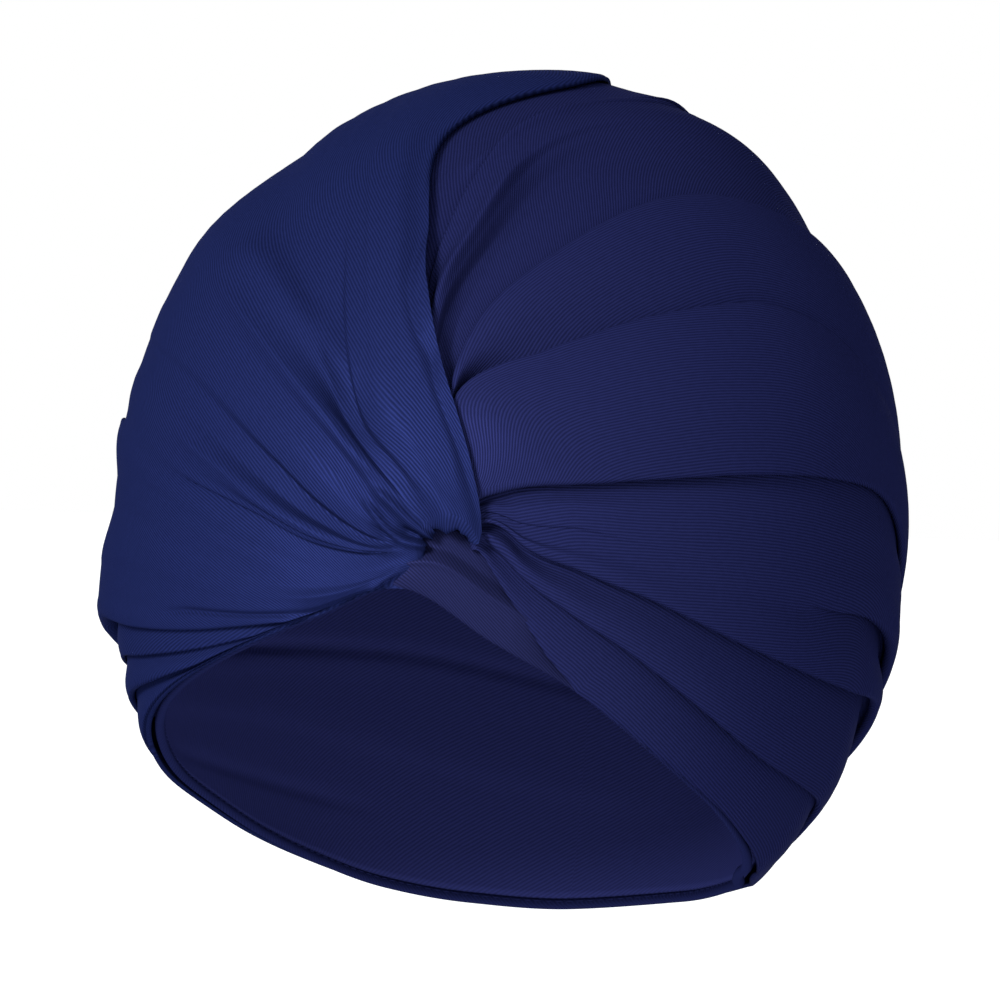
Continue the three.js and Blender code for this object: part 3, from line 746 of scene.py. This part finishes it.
# The inside of a panel: as high as the lowest cloth within reach allows, a wall below it, and
# clear of the floor, which is the lift of what lies under the panel.
def hollow_under(across_mm, lifts, floor, wall, reach=1.6):
    furthest = np.maximum.accumulate(across_mm, 1)
    nearest = np.minimum.accumulate(across_mm[:, ::-1], 1)[:, ::-1]
    inner_mm = (furthest + nearest) / 2
    spread = np.abs(inner_mm[:, :, None] - across_mm[:, None, :]) < reach
    lowest = np.where(spread, lifts[:, None, :], 99).min(2)
    return inner_mm, np.maximum(lowest - wall, floor)


BACK_FROM, BACK_TO = 70, 95       # the sweeps between which the inside face rises a little


def panel_floor(sweeps):
    return PANEL_IN + (PANEL_IN_BACK - PANEL_IN) * ease(BACK_FROM, BACK_TO, sweeps)


# Each fold: its angle at every station, and the lift of the cloth on its two sides ("near"
# faces the crown, "far" the mouth) at the lift stations. A fold whose near side is the
# lower one opens towards the crown. roll is the radius of its nose, under the depth of its
# tuck and soft its half breadth where it is no crisp fold. With crisp=0 it stays soft, with
# puff=0 the cloth before it is taut, and own_ribs counts the knit's ribs from its nose on.
PLEATS = [
    dict(name="under edge", angles=[2, -1, -6, -16, -21, -22, -20, -16, -13, -12, -10],
         near=(3.6, 3.6, 3.4, 3.6), far=(3.6, 3.6, 3.4, 3.6)),
    dict(name="crown tuck", angles=[5, 1.5, -4, -14, -16, -15, -4, 8.5, 13, 11, 8],
         near=(3.6, 3.6, 3.8, 4.6), far=(3.6, 3.6, 3.6, 3.6), soft=1.0),
    dict(name="crown pleat", angles=[7, 3.5, -2, -12, -11, -6, 0.5, 10.5, 18, 17, 13],
         near=(3.6, 3.8, 3.6, 3.6), far=(3.6, 3.9, 6.2, 5.4), roll=1.6, under=1.4),
    dict(name="crown ridge", angles=[9, 5.5, 0, -9.8, -7.8, 0, 6, 17, 24, 21, 17],
         near=(5.0, 6.0, 6.8, 6.2), far=(5.0, 5.6, 5.6, 6.0), soft=0.8, crisp=0),
    dict(name="crown valley", angles=[10.5, 7, 1.5, -6, -4, 4.5, 11, 22, 30, 28, 22],
         near=(3.6, 3.8, 3.3, 4.7), far=(3.6, 3.8, 3.3, 4.7), soft=2.4, puff=0),
    dict(name="first pleat", angles=[12, 8.5, 3, -2.5, 2, 13, 21, 29.5, 37, 36, 27],
         near=(3.2, 3.2, 3.2, 4.2), far=(5.8, 7.0, 7.6, 7.2), own_ribs=True, roll=2.2, under=1.6),
    dict(name="second pleat", angles=[16, 12.5, 8, -1, 20.5, 32.3, 38.5, 46, 53.5, 50, 40],
         near=(3.8, 3.6, 4.6, 6.4), far=(6.6, 7.2, 7.4, 7.4), own_ribs=True, roll=1.6, under=1.6),
    dict(name="side pleat", angles=[20, 27, 42, 56.5, 62, 63, 61.5, 59.5, 60.5, 60, 54],
         near=(6.6, 7.0, 7.2, 7.6), far=(4.0, 4.2, 4.8, 5.6), own_ribs=True, roll=1.0, under=1.8),
    dict(name="ear swell", angles=[27, 36, 60, 69, 74, 74.5, 72, 67.5, 66.5, 64.5, 58],
         near=(5.4, 6.0, 6.6, 7.8), far=(5.4, 6.0, 6.6, 7.8), soft=3.0),
    dict(name="ear tuck", angles=[34, 44, 70, 78, 82, 82.5, 80, 75, 71, 68, 62],
         near=(5.4, 5.8, 6.6, 8.2), far=(5.4, 5.8, 6.2, 4.4), roll=1.4),
    dict(name="ear pleat", angles=[42, 54, 82, 90.5, 92.5, 93, 90.5, 86, 78, 74, 70],
         near=(6.4, 6.9, 7.2, 7.8), far=(3.8, 3.8, 3.8, 3.8), own_ribs=True, roll=1.3, under=2.4),
    dict(name="low pleat", angles=[54, 84, 102.5, 108.5, 109, 109, 107.5, 103.5, 97, 91, 83],
         near=(6.2, 6.5, 6.4, 5.6), far=(3.8, 3.8, 3.8, 3.8), own_ribs=True, roll=1.2, under=2.4),
    dict(name="lower edge", angles=[84, 108, 121, 129, 131, 150, 150, 150, 150, 150, 150],
         near=(4.8, 4.8, 4.6, 4.0), far=(3.6, 3.6, 3.6, 3.6)),
]
PLEATED_START, PLEATED_ROWS = 3.0, 170


# Narrow ridges and hollows along lines of the fan, where the cloth is drawn tight. rise is
# in mm, half the half breadth in mm, lead and fade how a line starts and ends.
def ripple(ripples, angles, sweeps):
    rise = np.zeros(angles.shape)
    scale = degree_width(sweeps)[:, None]
    for line in ripples:
        knots = line["sweeps"]
        off = (angles - smooth(knots, line["angles"], sweeps)[:, None]) * scale
        fade = line.get("fade", 0.3) * (knots[-1] - knots[0])
        window = ease(knots[0] - line.get("lead", 0.5), knots[0] + line.get("lead", 0.5), sweeps)
        window = window * ease(knots[-1], knots[-1] - fade, sweeps)
        rise += line["rise"] * np.exp(-(off / line["half"])**2) * window[:, None]
    return rise


# Faint streaks of drawn cloth along the folds, each a little ridge or hollow, in columns
# from from_column on.
STREAKS = 60


def streaks(across_mm, sweeps, seed, from_column):
    chance = np.random.default_rng(seed)
    rise = np.zeros(across_mm.shape)
    for streak in range(STREAKS):
        column = chance.integers(from_column, across_mm.shape[1])
        start, length = chance.uniform(12, 28), chance.uniform(14, 42)
        half = chance.uniform(0.6, 1.6) * ease(0, 20, sweeps)[:, None] + 0.2
        off = across_mm - across_mm[:, column:column + 1]
        window = ease(start, start + 0.3 * length, sweeps)
        window = window * ease(start + length, start + 0.4 * length, sweeps)
        rise += chance.uniform(-1, 1) * np.exp(-(off / half)**2) * window[:, None]
    return rise


# A panel from its table, as a closed shell with the flat places of its cloth. At the twist
# its end turns down in a round roll, whose radius at each angle is roll(angle), in mm.
# floor_at gives the lift of what lies under it, and drawn is how high the streaks are.
ROLL_ROWS, ROLL_TURN = 16, math.radians(125)
ROLL_WALL, ROLL_CLEAR, ROLL_LEAST = 0.8, 0.3, 0.15          # its wall, its gap and its least inside
ROLL_BLEND = 6                     # degrees over which its wall becomes the panel's
EVEN_ROWS = 16                     # rows over which the ribs' places are evened


def panel(name, table, ripples, first, rows, side, floor_at, wall, roll, calm, seed, from_column, drawn):
    sweeps = sweeps_from(first, rows)
    angles, lifts, across_mm, creases = lay_folds(table, sweeps, side, calm)
    lifts = lifts + ripple(ripples, angles, sweeps) + drawn * streaks(across_mm, sweeps, seed, from_column)
    floor = floor_at(angles, sweeps)
    lifts = np.maximum(lifts, floor + wall)
    inner_mm, hollow = hollow_under(side * across_mm, lifts, floor, wall)
    inner_angles = side * inner_mm / degree_width(sweeps)[:, None]
    wide = np.repeat(sweeps[:, None], angles.shape[1], 1)

    turns = np.linspace(ROLL_TURN, 0, ROLL_ROWS, endpoint=False)[:, None]
    radius = np.minimum(roll(angles[:1]), (lifts[:1] - floor[:1] - ROLL_CLEAR) / (1 - math.cos(ROLL_TURN)))
    rolled_in = np.maximum(radius - ROLL_WALL, ROLL_LEAST)
    outer = fan_point(
        np.concatenate([np.repeat(angles[:1], ROLL_ROWS, 0), angles]),
        np.concatenate([first - radius * np.sin(turns) / MM_PER_DEGREE, wide]),
        np.concatenate([lifts[:1] - radius * (1 - np.cos(turns)), lifts]))
    top = lifts[:1] - radius + rolled_in
    blend = ease(first + ROLL_BLEND, first, sweeps)[:, None]
    hollow = hollow + (np.maximum(lifts - ROLL_WALL, hollow) - hollow) * blend
    inner = fan_point(
        np.concatenate([np.repeat(inner_angles[:1], ROLL_ROWS, 0), inner_angles]),
        np.concatenate([first - rolled_in * np.sin(turns) / MM_PER_DEGREE, wide]),
        np.concatenate([top - rolled_in * (1 - np.cos(turns)), hollow]))

    step_down = np.linalg.norm(np.diff(outer, axis=0), axis=-1).mean(1)
    along = np.concatenate([[0], np.cumsum(step_down)])[:, None]
    step_over = np.linalg.norm(np.diff(outer, axis=1), axis=-1)
    over = np.concatenate([np.zeros((outer.shape[0], 1)), np.cumsum(step_over, 1)], 1)
    cloth = np.stack([over, along + 0 * over], -1)
    home = np.zeros(outer.shape[1] - 1, int)
    for crease, nose in creases:
        home[crease:] = nose
    from_home = np.stack([over[:, :-1] - over[:, home], over[:, 1:] - over[:, home]], -1)
    blur = np.exp(-(np.arange(-EVEN_ROWS, EVEN_ROWS + 1) / (EVEN_ROWS / 2))**2)
    padded = np.pad(from_home, ((EVEN_ROWS, EVEN_ROWS), (0, 0), (0, 0)), mode="edge")
    from_home = sum(weight * padded[k:k + len(from_home)] for k, weight in enumerate(blur / blur.sum()))
    u = np.stack([from_home[:-1, :, 0], from_home[:-1, :, 1],
                  from_home[1:, :, 1], from_home[1:, :, 0]], -1)
    v = np.stack([along[:-1], along[:-1], along[1:], along[1:]], -1) + 0 * u
    return shell(name, outer, inner, "sheet", cloth, np.stack([u, v], -1))


RIPPLES = [
    dict(name="drawn ridge beside the over panel", sweeps=(22, 28, 34, 48), angles=(-7.2, -4.4, -0.4, 4.2),
         rise=2.0, half=1.5, lead=3),
    dict(name="crown ridge", sweeps=(45, 50, 56, 62, 70, 88), angles=(-3, 0.5, 4.2, 6.4, 9.8, 12),
         rise=1.7, half=1.6, lead=3),
]
PLEATED_CALM = (3.0, 4.6)
WALL = 1.0                        # the least thickness of an outer panel
PLEATED_ROLL = 1.2
pleated = panel(
    "pleated_cloth", PLEATS, RIPPLES, PLEATED_START, PLEATED_ROWS, side=1,
    floor_at=lambda angle, sweeps: panel_floor(sweeps)[:, None] + 0 * angle, wall=WALL,
    roll=lambda angle: PLEATED_ROLL + 0 * angle, calm=PLEATED_CALM, seed=3, from_column=0, drawn=0.22)
pleated.data.materials.append(
    knit("pleated knit", (0.0074, 0.0092, 0.0405), spacing=0.65, slant=4, depth=0.07))
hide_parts("pleated_panel")
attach(pleated, "root")

# ---- the over panel -----------------------------------------------------------------------------
# The second panel, over the crown and the wearer's right side. Its free edge crosses the
# pleated panel, and its gathered end turns under in a round fold to make the twist. Its
# folds are given like the pleats.
FOLDS = [
    dict(name="over edge", angles=[80, 39, 15, -1, -7.5, -8.2, -7, 4.2, 2.5, 2, 1.5],
         near=(8.2, 7.2, 6.8, 7.0), far=(8.2, 7.2, 6.8, 7.0), roll=0.9),
    dict(name="brow swell", angles=[30, 5, -6, -15, -18, -15.5, -13, -8, -5, -5, -4],
         near=(9.6, 8.8, 7.9, 5.6), far=(9.6, 8.8, 7.9, 5.6), soft=3.0, puff=0),
    dict(name="crown crease", angles=[-12, -18, -25, -32, -26.5, -20.5, -17, -13.5, -11, -9.5, -8.5],
         near=(9.2, 7.8, 6.0, 5.0), far=(9.2, 7.8, 6.0, 5.0), soft=1.6, puff=0),
    dict(name="temple groove", angles=[-30, -36, -38, -40, -33.5, -25.5, -21, -18, -15, -13, -11],
         near=(7.0, 5.2, 3.7, 4.3), far=(7.0, 5.2, 3.7, 4.3), soft=2.6, puff=0),
    dict(name="temple ridge", angles=[-46, -51, -49.5, -45.5, -43.5, -41.5, -39, -36, -32, -27, -22],
         near=(6.4, 7.6, 7.5, 5.1), far=(6.4, 7.6, 7.5, 5.1), soft=0.9, puff=0),
    dict(name="ridge foot", angles=[-62, -66, -63, -54, -50, -46.5, -44, -40.5, -36, -31, -26],
         near=(5.6, 6.1, 6.3, 5.0), far=(5.6, 6.1, 6.3, 5.0), soft=2.0, puff=0),
    dict(name="temple swell", angles=[-74, -79, -77, -67, -58, -51.5, -48, -44.5, -39, -34, -29],
         near=(5.2, 5.4, 5.7, 5.1), far=(5.2, 5.4, 5.7, 5.1), soft=2.4, puff=0),
    dict(name="cheek groove", angles=[-82, -86, -85, -75.5, -65.5, -57.5, -52, -47.5, -42, -37, -32],
         near=(4.6, 3.8, 4.7, 5.1), far=(4.6, 3.8, 4.7, 5.1), soft=1.8, puff=0),
    dict(name="cheek ridge", angles=[-88, -90, -89.5, -81.5, -72.5, -63, -56.5, -51.5, -46, -41, -36],
         near=(5.8, 7.0, 5.5, 5.1), far=(5.8, 7.0, 5.5, 5.1), soft=0.9, puff=0),
    dict(name="cheek tuck", angles=[-95, -93.5, -92, -86, -76.5, -69.5, -61.5, -55, -50, -46, -42],
         near=(6.0, 6.2, 5.4, 4.2), far=(4.6, 4.8, 5.2, 6.4), roll=0.9, under=1.4, puff=0),
    dict(name="soft groove", angles=[-104, -107, -106, -99, -89.5, -78, -69, -64, -61, -59, -56],
         near=(5.2, 5.3, 4.9, 4.8), far=(5.2, 5.3, 4.9, 4.8), soft=3.0),
    dict(name="ear swell", angles=[-107, -110, -111, -108, -101, -91.5, -82, -74.5, -70, -68, -65],
         near=(6.0, 6.2, 6.6, 9.6), far=(6.0, 6.2, 6.6, 9.6), soft=3.5),
    dict(name="upper tuck", angles=[-112, -114, -115, -115, -106, -97.5, -88.5, -80, -75.5, -73, -70],
         near=(6.4, 6.2, 7.4, 10.4), far=(3.9, 4.0, 5.6, 4.6), own_ribs=True, roll=2.4, under=2.6),
    dict(name="middle tuck", angles=[-118, -119, -119, -116, -108.5, -101.5, -93.5, -86, -80, -77, -74],
         near=(4.0, 4.6, 6.0, 5.4), far=(4.0, 4.2, 4.4, 4.4), own_ribs=True, roll=1.1, under=1.8),
    dict(name="low tuck", angles=[-121, -122, -122, -117, -109.7, -104.2, -98, -92, -87, -84, -80],
         near=(4.0, 4.6, 6.0, 5.6), far=(4.0, 4.2, 3.9, 3.9), own_ribs=True, roll=1.1, under=1.8),
    dict(name="edge tuck", angles=[-124, -125, -125, -118, -111, -106.5, -102.5, -98, -94, -90, -85],
         near=(4.0, 4.4, 5.2, 4.8), far=(4.0, 4.1, 4.0, 4.0), roll=0.8, under=1.0),
    dict(name="lower edge", angles=[-129, -129, -129, -150, -150, -150, -150, -150, -150, -150, -150],
         near=(3.9, 4.1, 4.2, 4.0), far=(3.9, 4.1, 4.2, 4.0)),
]
OVER_START, OVER_ROWS = 3.3, 129
LOBE_END = EDGE_COLUMNS + 3 * (LOBE_COLUMNS + FOLD_COLUMNS)       # no streaks on the lobe up to here
OVERLAP_GAP = 0.5
DRAPE_ON, DRAPE_OFF = 2.5, 9         # degrees beside a pleat where the cloth over it comes back down
BAND_SWEEP = 12                   # up to here the over panel lies on the brow band


# What the over panel must clear: the lining, the brow band and, where they cross, the pleats.
def over_floor(angle, sweeps):
    pleat_angles, pleat_lifts = lay_folds(PLEATS, np.maximum(sweeps, PLEATED_START), 1, PLEATED_CALM)[:2]
    pleat_lifts = pleat_lifts + ripple(RIPPLES, pleat_angles, sweeps)
    floor = np.where(sweeps < BAND_SWEEP, BAND_OUT + OVERLAP_GAP, panel_floor(sweeps))[:, None]
    floor = floor + 0 * angle
    highest = np.empty(angle.shape)
    for row, lowest in enumerate(panel_floor(sweeps) - OVERLAP_GAP):
        apart = np.abs(angle[row][:, None] - pleat_angles[row][None])
        held_up = (pleat_lifts[row] - lowest) * ease(DRAPE_OFF, DRAPE_ON, apart)
        highest[row] = lowest + held_up.max(1)
    for shift in (-2, 0, 2):
        floor = np.maximum(floor, np.roll(highest, shift, 0) + OVERLAP_GAP)
    return floor


OVER_RIPPLES = [
    dict(name="lip of the twist", sweeps=(2.5, 5, 6.5, 8, 10.5), angles=(-81, -80, -74, -67, -59),
         rise=1.9, half=0.8),
    dict(name="pit of the twist", sweeps=(3.2, 4.4, 5.6), angles=(-68, -69, -67),
         rise=-2.6, half=0.7, fade=0.4),
    dict(name="pit behind the lip", sweeps=(5.5, 7, 8.5), angles=(-84, -78, -74),
         rise=-2.2, half=0.8, fade=0.4),
    dict(name="second lip of the twist", sweeps=(2.5, 7, 10.4), angles=(-60, -54, -54.8),
         rise=1.4, half=0.9),
    dict(name="swell beside the temple groove", sweeps=(20, 28, 34, 50), angles=(-32.5, -33.5, -34, -34),
         rise=2.0, half=3.0, lead=4),
    dict(name="hollow above the temple ridge", sweeps=(14, 22, 34, 46), angles=(-41, -39, -37.5, -36),
         rise=-1.0, half=2.2, lead=3),
    dict(name="edge of the temple ridge", sweeps=(10, 16, 22, 35, 48),
         angles=(-47.5, -44.8, -43.5, -41.3, -39.2), rise=0.9, half=1.0, lead=2),
    dict(name="edge of the cheek ridge", sweeps=(12, 16, 22, 28, 40),
         angles=(-84.5, -78.8, -72.7, -67, -60.5), rise=0.9, half=1.0, lead=2),
    dict(name="hollow of the upper tuck", sweeps=(13, 22, 34, 42), angles=(-114, -103.5, -93.5, -90),
         rise=-0.9, half=0.6, lead=1),
]


# The roll at the twist is round at the crown's side and tighter towards the cheek.
def over_roll(angle):
    return 3.6 - 2.0 * ease(-50, -85, angle)


over = panel(
    "over_cloth", FOLDS, OVER_RIPPLES, OVER_START, OVER_ROWS, side=-1, floor_at=over_floor, wall=WALL,
    roll=over_roll, calm=(3.3, 9.0), seed=8, from_column=LOBE_END, drawn=0.12)
over.data.materials.append(
    knit("over knit", (0.0063, 0.0096, 0.044), spacing=0.65, slant=20, depth=0.08))
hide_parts("over_panel")
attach(over, "root")
